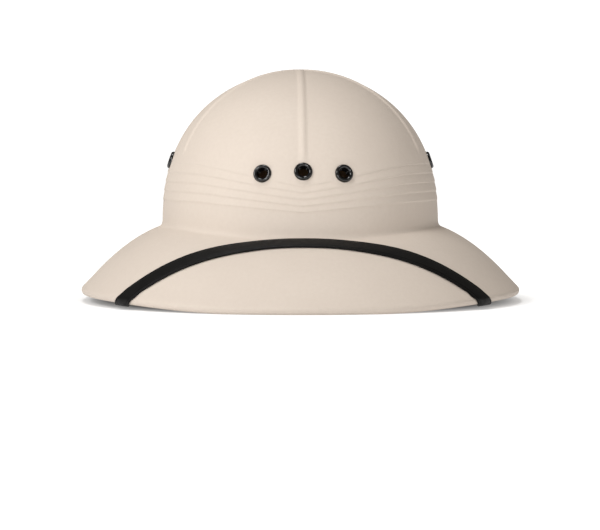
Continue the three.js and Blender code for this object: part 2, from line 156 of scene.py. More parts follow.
SHELL_LOOK = Sizes(base=colour(0.575, 0.502, 0.436), pale=colour(0.595, 0.522, 0.454))
SHELL_LOOK.broad_noise = (14, 2.0)
SHELL_LOOK.speck = colour(0.54, 0.465, 0.4)
SHELL_LOOK.speck_share = 0.3
SHELL_LOOK.speck_noise = (420, 2.0)
# Painted shade: a darker tan laid in the groove behind the rolled edge, under the brim
SHELL_LOOK.groove = colour(0.42, 0.33, 0.245)
SHELL_LOOK.groove_share = 0.35
# Painted shade: the brim's underside, the inner side of the rolled edge and the inside of the crown are
# mixed halfway to this darker, warmer tan, standing for shade and warm bounce light
SHELL_LOOK.underside = colour(0.52, 0.42, 0.31)
SHELL_LOOK.underside_share = 0.5
# Inside of the crown: partly its own browner tone, partly painted shade and warm bounce light in the deep
# hollow
SHELL_LOOK.hollow = colour(0.46, 0.31, 0.19)
SHELL_LOOK.roughness = (0.62, 0.76)
SHELL_LOOK.rough_noise = (90, 3.0)
SHELL_LOOK.specular = 0.35
SHELL_LOOK.weave_pitch = 0.95
SHELL_LOOK.weave_share = 0.6
SHELL_LOOK.grain_share = 0.55
SHELL_LOOK.grain_noise = (700, 4.0, 0.6)
SHELL_LOOK.fine_bump = (0.35, 0.00012)
SHELL_LOOK.pit_noise = (160, 2.0)
SHELL_LOOK.pit_bump = (0.12, 0.0005)

STRAP_LOOK = Sizes(base=colour(0.0025, 0.0024, 0.0024), worn=colour(0.0055, 0.0052, 0.005))
STRAP_LOOK.wear_noise = (60, 3.0)
STRAP_LOOK.roughness = (0.4, 0.56)
STRAP_LOOK.rough_noise = (240, 3.0)
STRAP_LOOK.specular = 0.1
STRAP_LOOK.pebble_scale = 1100.0
STRAP_LOOK.pebble_bump = (0.35, 0.00015)

EYELET_LOOK = Sizes(base=colour(0.002, 0.002, 0.0024), scuffed=colour(0.006, 0.006, 0.0065))
EYELET_LOOK.scuff_noise = (900, 4.0, 0.65)
EYELET_LOOK.scuff_bump = (0.04, 0.0001)
EYELET_LOOK.roughness = (0.06, 0.14)
EYELET_LOOK.specular = 0.5

BAND_LOOK = Sizes(base=colour(0.007, 0.007, 0.0075), pale=colour(0.013, 0.013, 0.0135))
BAND_LOOK.grain_noise = (800, 3.0, 0.6)
BAND_LOOK.grain_bump = (0.3, 0.00012)
BAND_LOOK.roughness = (0.42, 0.6)
BAND_LOOK.rough_noise = (200, 3.0)

BROW_LOOK = Sizes(base=colour(0.15, 0.142, 0.14), pale=colour(0.26, 0.25, 0.245), roughness=0.92, sheen=0.3)
BROW_LOOK.row_scale = 320.0
BROW_LOOK.row_wander = 0.6
BROW_LOOK.row_share = 0.5
BROW_LOOK.nap_noise = (1300, 4.0, 0.7)
BROW_LOOK.cloth_bump = (0.5, 0.0002)

FLOOR = Sizes(half_size=30.0, base=colour(0.59, 0.59, 0.59), pale=colour(0.61, 0.61, 0.61), roughness=0.8)
FLOOR.cloud_noise = (3, 2.0)

# The floor glows outside the helmet only, with a painted contact shadow where the glow is cut away under
# and round it: shares of the rim's oval where the glow starts and is full.
FLOOR.glow = 0.9
FLOOR.glow_from = 0.85
FLOOR.glow_full = 1.25

# Part of a noise's values that is spread over a range
NOISE_LOW = 0.3
NOISE_HIGH = 0.7

# Light, in metres and watts, and camera
BACKDROP_LIGHT = 1.2
AMBIENT_LIGHT = 0.26
AMBIENT_COLOUR = colour(1, 0.94, 0.86)
LIGHT_TARGET = (0, 0, 0.08)
LIGHTS = {
    "key": Sizes(place=(-1.3, -1.25, 1.15), size=0.6, power=18),
    "front": Sizes(place=(-0.4, -1.9, 0.4), size=0.4, power=8.5),
    "top": Sizes(place=(-0.3, -0.2, 1.9), size=0.5, power=16),
}
CAMERA = Sizes(distance=1.9, azimuth=-1.1, height=0.11, lens=161.9, sensor=36, aim=(0, 0, 0.024))


# Small helpers


def smooth_step(low, high, value):
    share = np.clip((np.asarray(value, float) - low) / (high - low), 0, 1)
    return share * share * (3 - 2 * share)


def mix(first, second, share):
    return first + (second - first) * share


def columns_of(x, y, z):
    return np.stack(np.broadcast_arrays(x, y, z), -1).astype(float)


def turn_from_front(angle):
    return np.abs((np.asarray(angle, float) + 180) % 360 - 180)


# Shape of the shell


def oval_point(angle, half_width, half_length, centre_y):
    side = np.sin(np.radians(angle))
    front = np.cos(np.radians(angle))
    x = half_width * np.sign(side) * np.abs(side) ** OVAL_POWER
    y = centre_y - half_length * np.sign(front) * np.abs(front) ** OVAL_POWER
    return columns_of(x, y, 0.0)


def rim_point(angle):
    return oval_point(angle, RIM.half_width, RIM.half_length, 0)


def crown_oval(angle, inset):
    return oval_point(angle, CROWN.half_width - inset, CROWN.half_length - inset, -CROWN.forward)


def side_share(angle):
    return smooth_step(RIM.flat_share, 1, np.abs(np.sin(np.radians(angle))))


def rim_height(angle):
    return BEAD.centre + RIM.side_lift * side_share(angle)


def root_height(angle):
    return BRIM.front_root + BRIM.side_lift * side_share(angle)


def dome_share(height, foot, top):
    rise = np.clip((height - foot) / (top - foot), 0, 1)
    return np.sqrt(1 - rise**CROWN.roundness)


def dome_height(share, foot, top):
    return foot + (top - foot) * (1 - share * share) ** (1 / CROWN.roundness)


def dome_point(angle, height, inset=0.0, swell=0.0):
    """Point on the dome whose oval is drawn in by inset and pushed out by swell."""
    share = dome_share(height, CROWN.foot, CROWN.top - inset)
    oval = crown_oval(angle, inset - swell)
    y = -CROWN.forward + (oval[..., 1] + CROWN.forward) * share
    return columns_of(oval[..., 0] * share, y, height)


def dome_normal(points):
    """Normals of the outer dome at points on it."""
    x = points[..., 0] / CROWN.half_width
    y = (points[..., 1] + CROWN.forward) / CROWN.half_length
    rise = np.clip((points[..., 2] - CROWN.foot) / (CROWN.top - CROWN.foot), 0, 1)
    power = 2 / OVAL_POWER
    oval = np.maximum(np.abs(x) ** power + np.abs(y) ** power, SMALLEST) ** (OVAL_POWER - 1)
    gradient = columns_of(
        2 * oval * np.sign(x) * np.abs(x) ** (power - 1) / CROWN.half_width,
        2 * oval * np.sign(y) * np.abs(y) ** (power - 1) / CROWN.half_length,
        CROWN.roundness * rise ** (CROWN.roundness - 1) / (CROWN.top - CROWN.foot),
    )
    return gradient / np.linalg.norm(gradient, axis=-1, keepdims=True)


def brim_height(angle, reach):
    rim_top = rim_height(angle) + BRIM.rim_rise
    return mix(root_height(angle), rim_top, reach) + 4 * BRIM.bulge * reach * (1 - reach)


def brim_point(angle, reach, depth):
    """Point of the brim, from 0 at the crown to 1 at the rim, moved by depth along the section's normal."""
    root = crown_oval(angle, 0)
    outwards = rim_point(angle) - root
    length = np.linalg.norm(outwards, axis=-1)
    rise = brim_height(angle, reach + NUDGE) - brim_height(angle, reach - NUDGE)
    slope = rise / (2 * NUDGE * length)
    steep = np.hypot(1, slope)
    point = root + outwards * np.asarray(reach - depth * slope / (steep * length))[..., None]
    point[..., 2] = brim_height(angle, reach) + depth / steep
    return point


def bead_point(angle, turn, depth):
    """Point of the rolled edge; turn is 0 straight up and 90 outwards."""
    rim = rim_point(angle)
    outwards = rim - crown_oval(angle, 0)
    outwards = outwards / np.linalg.norm(outwards, axis=-1, keepdims=True)
    radius = BEAD.radius + depth
    point = rim + outwards * np.asarray(radius * np.sin(np.radians(turn)))[..., None]
    point[..., 2] = np.maximum(rim_height(angle) + radius * np.cos(np.radians(turn)), 0)
    return point


def corner_point(first, corner, last, share):
    return first * (1 - share) ** 2 + corner * 2 * share * (1 - share) + last * share**2


def outer_corner(angle, share):
    wall = dome_point(angle, root_height(angle) + BRIM.fillet_height)
    corner = dome_point(angle, root_height(angle))
    return corner_point(wall, corner, brim_point(angle, BRIM.fillet_reach, 0.0), share)


def inner_corner(angle, along, depth):
    wall = dome_point(angle, root_height(angle) + BRIM.inner_height, WALL + depth)
    corner = dome_point(angle, root_height(angle) - WALL - depth, WALL + depth)
    return corner_point(brim_point(angle, BRIM.inner_reach, -WALL - depth), corner, wall, along)


def fold_dip(angle):
    """Share of the dip of the folds: 1 at the front centre, easing to 0 at the sides and back."""

    def eased(share):
        return (share + np.hypot(share, FOLDS.dip_soft)) / 2

    share = 1 - turn_from_front(angle) / FOLDS.dip_angle
    return (eased(share) / eased(1)) ** FOLDS.dip_power


def fold_height(angle, index):
    side = FOLDS.side_low + FOLDS.side_pitch * index
    front = FOLDS.front_low + FOLDS.front_pitch * index
    return mix(side, front, fold_dip(angle))


def fold_share(points):
    """Share of the folds' depth that is left near the vents, where they are pressed flat."""
    share = np.ones(points.shape[:-1])
    for angle, height in EYELETS.values():
        distance = np.linalg.norm(points - dome_point(angle, height), axis=-1)
        share *= smooth_step(EYELET_CLEAR.flat, EYELET_CLEAR.full, distance)
    return share


def rib_rise(points):
    """Height of the ribs over the dome at points on it."""
    offset_y = points[..., 1] + CROWN.forward
    best = np.zeros(points.shape[:-1])
    for angle in RIB.angles:
        along = oval_point(angle, CROWN.half_width, CROWN.half_length, 0)
        along = along / np.linalg.norm(along)
        ahead = points[..., 0] * along[0] + offset_y * along[1]
        aside = np.abs(points[..., 0] * along[1] - offset_y * along[0]) / RIB.half_width
        low_end = RIB.front_low_end if angle == 0 else RIB.low_end
        height = RIB.height * smooth_step(low_end, low_end + RIB.fade, points[..., 2])
        if angle == 0:
            fade = smooth_step(RIB_STUB.low_end, RIB_STUB.low_end + RIB_STUB.fade, points[..., 2])
            height = np.maximum(height, RIB_STUB.height * fade)
        near = np.where(ahead > -RIB.half_width, np.clip(1 - aside**2, 0, 1), 0)
        best = np.maximum(best, height * near**RIB.roundness)
    from_top = np.hypot(points[..., 0], offset_y) / RIB.hub
    hub = np.clip(1 - from_top**2, 0, 1) ** RIB.roundness
    return np.maximum(best, RIB.height * hub)


# Fine meshes


def make_object(name, points, faces, smooth_angle=SMOOTH_ANGLE):
    """New object from points in millimetres."""
    mesh = bpy.data.meshes.new(name)
    mesh.from_pydata((np.asarray(points) * MM).tolist(), [], faces)
    mesh.update()
    piece = bpy.data.objects.new(name, mesh)
    bpy.context.scene.collection.objects.link(piece)
    shade(piece, smooth_angle)
    return piece


def shade(piece, smooth_angle):
    piece.data.shade_smooth()
    piece.data.set_sharp_from_angle(angle=math.radians(smooth_angle))


def combine(piece, tool, operation):
    """Cuts the tool from the piece or joins it on, and removes the tool."""
    modifier = piece.modifiers.new("combine", "BOOLEAN")
    modifier.object = tool
    modifier.operation = operation
    modifier.solver = "EXACT"
    bpy.context.view_layer.update()
    graph = bpy.context.evaluated_depsgraph_get()
    mesh = bpy.data.meshes.new_from_object(piece.evaluated_get(graph))
    piece.modifiers.clear()
    old = piece.data
    name = old.name
    piece.data = mesh
    bpy.data.meshes.remove(old)
    mesh.name = name
    bpy.data.objects.remove(tool)


def grid_faces(rows, count, closed_rows):
    """Quads between rows of points, each row closed on itself."""
    faces = []
    for row in range(rows if closed_rows else rows - 1):
        after = (row + 1) % rows
        for column in range(count):
            following = (column + 1) % count
            near = (row * count + column, row * count + following)
            far = (after * count + column, after * count + following)
            faces.append((near[0], far[0], far[1], near[1]))
    return faces


def tube(name, sections, closed=False, smooth_angle=SMOOTH_ANGLE):
    """Solid through sections of equal count, closed on itself or by flat ends."""
    sections = np.asarray(sections)
    rows, count = sections.shape[:2]
    faces = grid_faces(rows, count, closed)
    if not closed:
        faces.append(tuple(range(count)))
        faces.append(tuple((rows - 1) * count + step for step in reversed(range(count))))
    return make_object(name, sections.reshape(-1, 3), faces, smooth_angle)


# The shell


def column_angles():
    """Plan angles of the shell's columns, closest together near the ribs."""
    fine = np.linspace(0, 360, COLUMNS.samples)
    gap = np.min([turn_from_front(fine - angle) for angle in RIB.angles], axis=0)
    density = 1 + COLUMNS.boost * np.exp(-((gap / COLUMNS.spread) ** 2))
    steps = (density[1:] + density[:-1]) / 2
    reached = np.concatenate([[0], np.cumsum(steps)])
    wanted = np.arange(COLUMNS.count) * reached[-1] / COLUMNS.count
    return np.interp(wanted, reached, fine)


def with_ribs(points):
    return points + dome_normal(points) * rib_rise(points)[..., None]


def crown_rings(angles):
    """Rings from the top of the crown down to the folds."""
    rings = []
    for share in np.linspace(FIRST_SHARE, DOME_LOW_SHARE, RINGS.dome):
        rings.append(with_ribs(dome_point(angles, dome_height(share, CROWN.foot, CROWN.top))))
    start = dome_height(DOME_LOW_SHARE, CROWN.foot, CROWN.top)
    fold_top = fold_height(angles, FOLDS.count - 1) + FOLDS.side_pitch
    for step in range(1, RINGS.upper_wall):
        rings.append(with_ribs(dome_point(angles, mix(start, fold_top, step / RINGS.upper_wall))))
    return rings


def fold_rings(angles):
    """Rings down each fold: out along its slope, then back in round its lower lip."""
    rings = []
    for index in reversed(range(FOLDS.count)):
        low = fold_height(angles, index)
        lip = low + FOLDS.step
        if index == FOLDS.count - 1:
            high = low + FOLDS.side_pitch
        else:
            high = fold_height(angles, index + 1)
        slope = np.linspace(0, 1, RINGS.fold_slope, endpoint=False)
        rows = [(mix(high, lip, share), share) for share in slope]
        drops = np.linspace(1, 0, RINGS.fold_lip, endpoint=False)
        rows += [(mix(low, lip, share), smooth_step(0, 1, share)) for share in drops]
        for height, share in rows:
            swell = FOLDS.depth * share * fold_share(dome_point(angles, height))
            rings.append(with_ribs(dome_point(angles, height, 0.0, swell)))
    return rings


# A ring of the fine shell, with its shares of the painted shade in the groove behind the rolled edge, the
# inside, and the hollow's browner tone with painted shade
Ring = namedtuple("Ring", "points recess inside hollow", defaults=(0.0, 0.0, 0.0))


def outer_rings(angles):
    """Rings from the top of the crown down its outside and out over the brim."""
    rings = crown_rings(angles) + fold_rings(angles)
    low = fold_height(angles, 0)
    wall_foot = root_height(angles) + BRIM.fillet_height
    for step in range(RINGS.lower_wall):
        rings.append(dome_point(angles, mix(low, wall_foot, step / RINGS.lower_wall)))
    for share in np.linspace(0, 1, RINGS.corner):
        rings.append(outer_corner(angles, share))
    for reach in np.linspace(BRIM.fillet_reach, BRIM_LAST_REACH, RINGS.brim + 1)[1:]:
        rings.append(brim_point(angles, reach, 0.0))
    brim_end = brim_point(angles, BRIM_LAST_REACH, 0.0)
    bead_start = bead_point(angles, BEAD.first_turn, 0.0)
    for step in range(1, RINGS.brim_edge):
        rings.append(mix(brim_end, bead_start, step / RINGS.brim_edge))
    return [Ring(points) for points in rings]


def inner_rings(angles):
    """Rings round the rolled edge, in under the brim and up the inside of the crown."""
    rings = []
    for turn in np.linspace(BEAD.first_turn, BEAD.last_turn, RINGS.bead):
        inside = float(smooth_step(*BEAD_INSIDE_TURNS, turn))
        rings.append(Ring(bead_point(angles, turn, 0.0), inside=inside))
    reaches = np.linspace(UNDERSIDE_REACHES[-1], BRIM.inner_reach, RINGS.underside)
    for reach in (*UNDERSIDE_REACHES[:-1], *reaches[:-1]):
        # The ring next to the rolled edge carries the groove's painted shade
        recess = 1.0 if reach > UNDERSIDE_REACHES[1] else 0.0
        rings.append(Ring(brim_point(angles, reach, -WALL), recess=recess, inside=1.0))
    for along in np.linspace(0, 1, RINGS.corner):
        # Up the inner corner the crown's inside turns to its browner tone with painted shade
        rings.append(Ring(inner_corner(angles, along, 0.0), inside=1.0, hollow=float(along)))
    inner_top = CROWN.top - WALL
    low = root_height(angles) + BRIM.inner_height
    high = dome_height(INSIDE_LOW_SHARE, CROWN.foot, inner_top)
    for step in range(1, RINGS.inner_wall):
        height = mix(low, high, step / RINGS.inner_wall)
        rings.append(Ring(dome_point(angles, height, WALL), inside=1.0, hollow=1.0))
    for share in np.linspace(INSIDE_LOW_SHARE, FIRST_SHARE, RINGS.inside):
        height = dome_height(share, CROWN.foot, inner_top)
        rings.append(Ring(dome_point(angles, height, WALL), inside=1.0, hollow=1.0))
    return rings


def cloth_map(mesh, points, angles, rows):
    """Map of the moulded cloth in millimetres: straight in each panel of the crown, round the rest."""
    count = len(angles)
    grid = points[: rows * count].reshape(rows, count, 3)
    step = np.linalg.norm(np.diff(grid, axis=0), axis=-1)
    down = np.concatenate([np.zeros((1, count)), np.cumsum(step, axis=0)]).ravel()
    around = np.radians(np.tile(angles, rows)) * CROWN.half_length
    bounds = np.array([*RIB.angles, 360])
    middles = np.radians((bounds[1:] + bounds[:-1]) / 2)
    crown_rows = RINGS.dome + RINGS.upper_wall - 1
    panel_of = np.searchsorted(bounds, angles, side="right") - 1
    full_turn = 2 * math.pi * CROWN.half_length
    corner_vertex = np.zeros(len(mesh.loops), int)
    mesh.loops.foreach_get("vertex_index", corner_vertex)
    flat = np.zeros((len(mesh.loops), 2))
    for polygon in mesh.polygons:
        corners = list(polygon.loop_indices)
        vertices = corner_vertex[corners]
        first = vertices[vertices < rows * count].min()
        row, column = divmod(int(first), count)
        if len(corners) == 4:
            column = int(vertices[0]) % count
        for corner, vertex in zip(corners, vertices):
            if vertex >= rows * count:
                continue
            if row < crown_rows:
                middle = middles[panel_of[column]]
                across = points[vertex, 0] * math.cos(middle) + points[vertex, 1] * math.sin(middle)
            else:
                past_seam = column == count - 1 and vertex % count == 0
                across = around[vertex] + (full_turn if past_seam else 0)
            flat[corner] = (across, down[vertex])
    layer = mesh.uv_layers.new(name="Cloth")
    layer.uv.foreach_set("vector", flat.astype(np.float32).ravel())


def point_values(mesh, name, values):
    attribute = mesh.attributes.new(name, "FLOAT", "POINT")
    attribute.data.foreach_set("value", np.asarray(values, np.float32))


def vent_frame(angle, height):
    """Place of a vent and the turn that brings +Z to the wall's normal, with millimetre points as input."""
    place = dome_point(angle, height)
    normal = Vector(dome_normal(place[None])[0])
    turn = np.array(normal.to_track_quat("Z", "Y").to_matrix())
    return lambda points: points @ turn.T + place


def vent_cutter():
    """All the vent holes as one cutter."""
    points = []
    faces = []
    turns = np.linspace(0, 2 * math.pi, EYELET.sides, endpoint=False)
    for angle, height in EYELETS.values():
        at_vent = vent_frame(angle, height)
        start = len(points)
        for along in (-EYELET.cut_length / 2, EYELET.cut_length / 2):
            ring = columns_of(EYELET.hole * np.cos(turns), EYELET.hole * np.sin(turns), along)
            points.extend(at_vent(ring))
        far = start + EYELET.sides
        for step in range(EYELET.sides):
            after = (step + 1) % EYELET.sides
            faces.append((start + step, start + after, far + after, far + step))
        faces.append(tuple(start + step for step in reversed(range(EYELET.sides))))
        faces.append(tuple(far + step for step in range(EYELET.sides)))
    return make_object("vent_cutter", points, faces)


def make_shell():
    angles = column_angles()
    rings = outer_rings(angles) + inner_rings(angles)
    count = len(angles)
    rows = len(rings)
    apex = np.array([0, -CROWN.forward, CROWN.top + RIB.height])
    inner_apex = np.array([0, -CROWN.forward, CROWN.top - WALL])
    points = np.concatenate([*[ring.points for ring in rings], [apex, inner_apex]])
    faces = grid_faces(rows, count, False)
    last = (rows - 1) * count
    for column in range(count):
        following = (column + 1) % count
        faces.append((rows * count, column, following))
        faces.append((rows * count + 1, last + following, last + column))
    piece = make_object("shell_fine", points, faces)
    cloth_map(piece.data, points, angles, rows)
    # Shares kept on the points for the material: the groove's painted shade, the inside (painted darker as
    # shade), and the hollow's browner tone with painted shade
    for name, at_inner_apex in (("recess", 0), ("inside", 1), ("hollow", 1)):
        shares = np.repeat([getattr(ring, name) for ring in rings], count)
        point_values(piece.data, name, [*shares, 0, at_inner_apex])
    combine(piece, vent_cutter(), "DIFFERENCE")
    shade(piece, SMOOTH_ANGLE)
    return piece


# Vents


def make_eyelet(name, angle, height):
    """A rolled ring outside, a barrel through the wall and a flange inside."""
    outline = [
        (EYELET.bore, EYELET.inner_back),
        (EYELET.inner - EYELET.inner_round, EYELET.inner_back),
        (EYELET.inner, EYELET.inner_back + EYELET.inner_round),
        (EYELET.inner, EYELET.inner_face),
        (EYELET.barrel, EYELET.inner_face),
        (EYELET.barrel, EYELET.seat),
    ]
    for turn in np.radians(np.linspace(0, 180, EYELET.roll_rings)):
        width = EYELET.flange - EYELET.crest if turn < math.pi / 2 else EYELET.crest - EYELET.bore
        radius = EYELET.crest + width * math.cos(turn)
        outline.append((radius, EYELET.seat + EYELET.rise * math.sin(turn)))
    turns = np.linspace(0, 2 * math.pi, EYELET.sides, endpoint=False)
    at_vent = vent_frame(angle, height)
    rings = [at_vent(columns_of(r * np.cos(turns), r * np.sin(turns), along)) for r, along in outline]
    return tube(name, rings[::-1], closed=True, smooth_angle=ROUND_SMOOTH_ANGLE)


# Chin strap


def strap_reach(angle, side):
    """Reach on the brim where a line along the strap crosses a plan angle. side is 1 at its front edge."""
    root = crown_oval(angle, 0)
    rim = rim_point(angle)
    reach = np.zeros(np.broadcast(angle, side).shape)
    for _ in range(SEARCH_PASSES):
        across = mix(root[..., 0], rim[..., 0], reach) / STRAP.edge_side
        drop = STRAP.edge_drop * across**STRAP.edge_power
        front = STRAP.front_reach - drop + side * STRAP.width / 2
        reach = (front + root[..., 1]) / (root[..., 1] - rim[..., 1])
    return reach


def strap_rim_angle(side):
    low, high = STRAP_SEARCH
    for _ in range(SEARCH_PASSES):
        middle = (low + high) / 2
        if strap_reach(np.array(middle), side) < 1:
            low = middle
        else:
            high = middle
    return low


def right_strap_sections():
    """Sections from the front centre over the brim, round the edge and up to the right temple."""
    across, thick = np.array(STRAP_PROFILE).T
    depth = mix(STRAP.gap, STRAP.top, thick)
    rim_angle = mix(strap_rim_angle(1), strap_rim_angle(-1), across)
    sections = []
    for share in np.linspace(0, 1, STRAP.top_stations, endpoint=False):
        angle = rim_angle * share
        sections.append(brim_point(angle, strap_reach(angle, 1 - 2 * across), depth))
    for share in np.linspace(0, 1, STRAP.wrap_stations):
        turn = mix(STRAP.wrap_from, STRAP.leave_turn, share)
        sections.append(bead_point(rim_angle + STRAP.wrap_advance * share, turn, depth))
    temple = []
    for along in np.linspace(STRAP_END.along[0], 1, STRAP.temple_stations):
        front = np.interp(along, STRAP_END.along, STRAP_END.front)
        back = np.interp(along, STRAP_END.along, STRAP_END.back)
        temple.append(inner_corner(mix(front, back, across), along, depth))
    leaving = sections[-1]
    for share in np.linspace(0, 1, STRAP.bridge_stations + 1)[1:-1]:
        sections.append(mix(leaving, temple[0], share))
    return sections + temple


def make_strap():
    right = right_strap_sections()
    left = [section * np.array([-1, 1, 1]) for section in right[1:]]
    return tube("chin_strap_fine", [*left[::-1], *right], smooth_angle=ROUND_SMOOTH_ANGLE)


# Inner bands


def strip_sections(angles, inner, outer, bottom, top):
    """Sections of an upright strip with rounded edges between two ovals round the crown."""
    sections = []
    for angle, low, high in zip(angles, bottom, top):
        near = oval_point(angle, *inner, -CROWN.forward)
        far = oval_point(angle, *outer, -CROWN.forward)
        lower = [mix(near, far, share) + [0, 0, low + rise] for share, rise in STRIP_EDGE]
        upper = [mix(near, far, share) + [0, 0, high - rise] for share, rise in reversed(STRIP_EDGE)]
        sections.append(lower + upper)
    return sections


def band_ovals(growth, thickness):
    inner = (BAND.half_width + growth, BAND.half_length + growth)
    return inner, (inner[0] + thickness, inner[1] + thickness)


def make_headband():
    angles = np.linspace(0, 360, BAND.stations, endpoint=False)
    inner, outer = band_ovals(-BAND.thickness, BAND.thickness)
    rail = smooth_step(BAND.rail_from, BAND.rail_to, turn_from_front(angles))
    bottom = mix(BAND.bottom, BAND.rail_bottom, rail)
    ring = strip_sections(angles, inner, outer, bottom, np.full(len(angles), BAND.top))
    piece = tube("headband_fine", ring, closed=True)
    angles = np.linspace(NAPE.start, 360 - NAPE.start, NAPE.stations)
    inner, outer = band_ovals(NAPE.thinner - BAND.thickness, BAND.thickness - 2 * NAPE.thinner)
    bottom = BAND.bottom - NAPE.drop * smooth_step(NAPE.start, 180, turn_from_front(angles))
    nape = tube("nape", strip_sections(angles, inner, outer, bottom, bottom + NAPE.height))
    combine(piece, nape, "UNION")
    shade(piece, SMOOTH_ANGLE)
    return piece


def make_brow():
    angles = np.linspace(-BROW.reach, BROW.reach, BROW.stations)
    inner, outer = band_ovals(BROW.gap, BROW.thickness)
    bottom = np.full(len(angles), BROW.bottom)
    top = np.full(len(angles), BROW.top)
    return tube("brow_band_fine", strip_sections(angles, inner, outer, bottom, top))


def brow_flat_size():
    """Width and length of the brow band laid flat, in metres."""
    angles = np.linspace(-BROW.reach, BROW.reach, BROW.stations)
    inner, outer = band_ovals(BROW.gap, BROW.thickness)
    line = oval_point(angles, (inner[0] + outer[0]) / 2, (inner[1] + outer[1]) / 2, 0)
    length = np.linalg.norm(np.diff(line, axis=0), axis=-1).sum()
    return ((BROW.top - BROW.bottom) * MM, float(length) * MM)


# Materials


class Nodes:
    """A material's node tree with short calls to add and link nodes."""

    def __init__(self, name):
        self.material = bpy.data.materials.new(name)
        self.material.use_nodes = True
        self.tree = self.material.node_tree
        self.shader = self.tree.nodes["Principled BSDF"]

    def add(self, kind, settings=None, **inputs):
        node = self.tree.nodes.new(kind)
        for key, value in (settings or {}).items():
            setattr(node, key, value)
        for key, value in inputs.items():
            self.put(node.inputs[key.replace("_", " ")], value)
        return node

    def put(self, socket, value):
        if hasattr(value, "is_output"):
            self.tree.links.new(value, socket)
        else:
            socket.default_value = value

    def math(self, operation, first, second=0.0):
        node = self.add("ShaderNodeMath", {"operation": operation})
        self.put(node.inputs[0], first)
        self.put(node.inputs[1], second)
        return node.outputs[0]

    def colour_mix(self, share, first, second):
        node = self.add("ShaderNodeMix", {"data_type": "RGBA"})
        self.put(node.inputs["Factor"], share)
        self.put(node.inputs["A"], first)
        self.put(node.inputs["B"], second)
        return node.outputs["Result"]

    def noise(self, scale, detail=3.0, roughness=0.5):
        place = self.add("ShaderNodeTexCoord").outputs["Object"]
        node = self.add("ShaderNodeTexNoise", Vector=place, Scale=scale, Detail=detail, Roughness=roughness)
        return node.outputs["Fac"]

    def spread(self, value, low=0.0, high=1.0):
        """The middle values of a noise, spread from low to high."""
        node = self.add("ShaderNodeMapRange", Value=value)
        self.put(node.inputs["From Min"], NOISE_LOW)
        self.put(node.inputs["From Max"], NOISE_HIGH)
        self.put(node.inputs["To Min"], low)
        self.put(node.inputs["To Max"], high)
        return node.outputs["Result"]

    def attribute(self, name):
        return self.add("ShaderNodeAttribute", {"attribute_name": name}).outputs["Fac"]

    def bump(self, height, strength, distance, before=None):
        node = self.add("ShaderNodeBump", Height=height, Strength=strength, Distance=distance)
        if before is not None:
            self.put(node.inputs["Normal"], before)
        return node.outputs["Normal"]

    def surface(self, **inputs):
        for key, value in inputs.items():
            self.put(self.shader.inputs[key.replace("_", " ")], value)
        return self.material


def cloth_weave(nodes):
    """Height of a plain weave over the cloth map, from 0 to 1."""
    pitch = SHELL_LOOK.weave_pitch
    place = nodes.add("ShaderNodeUVMap", {"uv_map": "Cloth"}).outputs["UV"]
    parts = nodes.add("ShaderNodeSeparateXYZ", Vector=place)
    turns = [nodes.math("MULTIPLY", parts.outputs[axis], math.pi / pitch) for axis in ("X", "Y")]
    threads = [nodes.math("ABSOLUTE", nodes.math("SINE", turn)) for turn in turns]
    over = nodes.add("ShaderNodeTexChecker", Vector=place, Scale=1 / pitch).outputs["Fac"]
    under = nodes.math("SUBTRACT", 1.0, over)
    first = nodes.math("MULTIPLY", threads[0], over)
    second = nodes.math("MULTIPLY", threads[1], under)
    return nodes.math("ADD", first, second)


def shell_material():
    """Moulded plastic with the grain of cloth outside and a smoother face inside. The underside and inside
    carry painted shade, darker and warmer than the outside; the crown's hollow is browner, partly its own
    tone and partly painted shade; a line of painted shade lies in the groove behind the rolled edge.
    """
    look = SHELL_LOOK
    nodes = Nodes("moulded_shell")
    inside = nodes.attribute("inside")
    outside = nodes.math("SUBTRACT", 1.0, inside)
    weave = nodes.math("MULTIPLY", nodes.math("MULTIPLY", cloth_weave(nodes), outside), look.weave_share)
    grain = nodes.math("MULTIPLY", nodes.noise(*look.grain_noise), look.grain_share)
    normal = nodes.bump(nodes.math("ADD", weave, grain), *look.fine_bump)
    normal = nodes.bump(nodes.noise(*look.pit_noise), *look.pit_bump, normal)
    broad = nodes.spread(nodes.noise(*look.broad_noise))
    base = nodes.colour_mix(broad, look.base, look.pale)
    speck = nodes.spread(nodes.noise(*look.speck_noise), 0.0, look.speck_share)
    base = nodes.colour_mix(speck, base, look.speck)
    # Painted shade darkens the groove behind the rolled edge
    groove = nodes.math("MULTIPLY", nodes.attribute("recess"), look.groove_share)
    base = nodes.colour_mix(groove, base, look.groove)
    # Painted shade: the underside and the inside are mixed towards a darker, warmer tan
    underside = nodes.math("MULTIPLY", inside, look.underside_share)
    base = nodes.colour_mix(underside, base, look.underside)
    # The crown's hollow turns browner, partly its own tone and partly painted shade
    base = nodes.colour_mix(nodes.attribute("hollow"), base, look.hollow)
    rough = nodes.spread(nodes.noise(*look.rough_noise), *look.roughness)
    return nodes.surface(Base_Color=base, Roughness=rough, Normal=normal, Specular_IOR_Level=look.specular)


def strap_material():
    """Black leatherette with a fine pebbled grain, worn paler in patches."""
    look = STRAP_LOOK
    nodes = Nodes("strap_leather")
    place = nodes.add("ShaderNodeTexCoord").outputs["Object"]
    cells = nodes.add("ShaderNodeTexVoronoi", Vector=place, Scale=look.pebble_scale).outputs["Distance"]
    normal = nodes.bump(cells, *look.pebble_bump)
    wear = nodes.spread(nodes.noise(*look.wear_noise))
    base = nodes.colour_mix(wear, look.base, look.worn)
    rough = nodes.spread(nodes.noise(*look.rough_noise), *look.roughness)
    return nodes.surface(Base_Color=base, Roughness=rough, Normal=normal, Specular_IOR_Level=look.specular)


